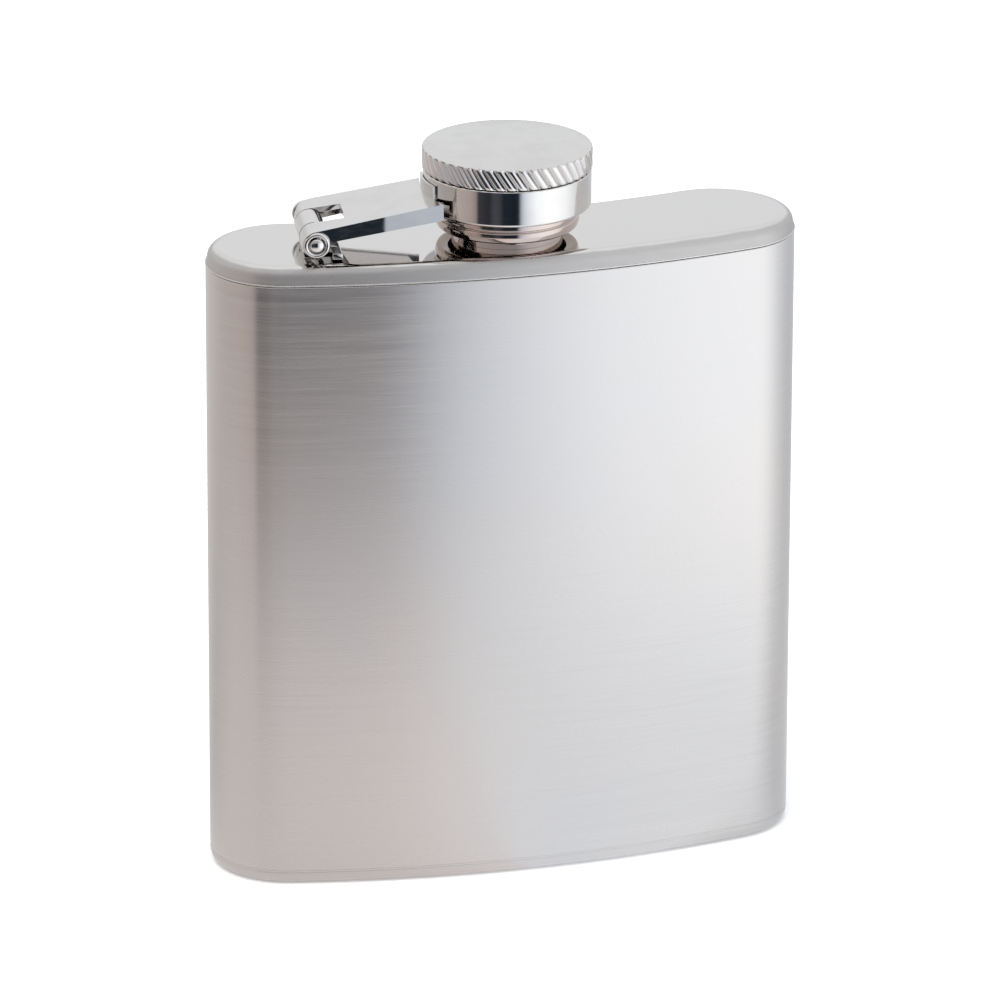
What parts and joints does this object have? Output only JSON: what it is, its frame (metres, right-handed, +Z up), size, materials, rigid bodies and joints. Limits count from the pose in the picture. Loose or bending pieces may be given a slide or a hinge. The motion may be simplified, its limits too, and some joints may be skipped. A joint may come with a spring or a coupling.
{
  "type": "hip flask",
  "caption": "Kidney-section brushed steel hip flask with a polished top, and a knurled screw cap held captive by a hinged strap.",
  "frame": {"origin": "centre of the footprint, on the flat underside", "axes": "+Z up along the flask's height, +Y towards the concave back, +X away from the hinge"},
  "size_m": [0.094, 0.0286, 0.116],
  "materials": {
    "brushed_body": "brushed along the width",
    "brushed_plate": "brushed",
    "polished_plate": "polished flat face with a brushed shoulder",
    "polished_arm": "polished",
    "polished_cap": "mirror polished, knurled grip",
    "polished_fitting": "polished",
    "seal": "soft translucent silicone"
  },
  "bodies": {
    "flask": {"body_shell": "brushed_body", "top_plate": "polished_plate", "bottom_plate": "brushed_plate", "neck": "polished_fitting", "hinge_base": "polished_fitting"},
    "strap": {"retaining_strap": "polished_arm", "hinge_pin": "polished_fitting", "collar_ring": "polished_cap"},
    "cap": {"cap_sleeve": "polished_fitting", "cap_head": "polished_cap", "cap_seal": "seal"}
  },
  "joints": [
    {"name": "strap_hinge", "type": "hinge", "parent": "flask", "child": "strap", "pos_m": [-0.0313, -0.00106, 0.1047], "axis": [-0.1392, -0.9903, 0], "range_deg": [0, 170]},
    {"name": "cap_spin", "type": "hinge", "parent": "strap", "child": "cap", "pos_m": [0, -0.00106, 0.1015], "axis": [0, 0, 1], "continuous": true}
  ]
}
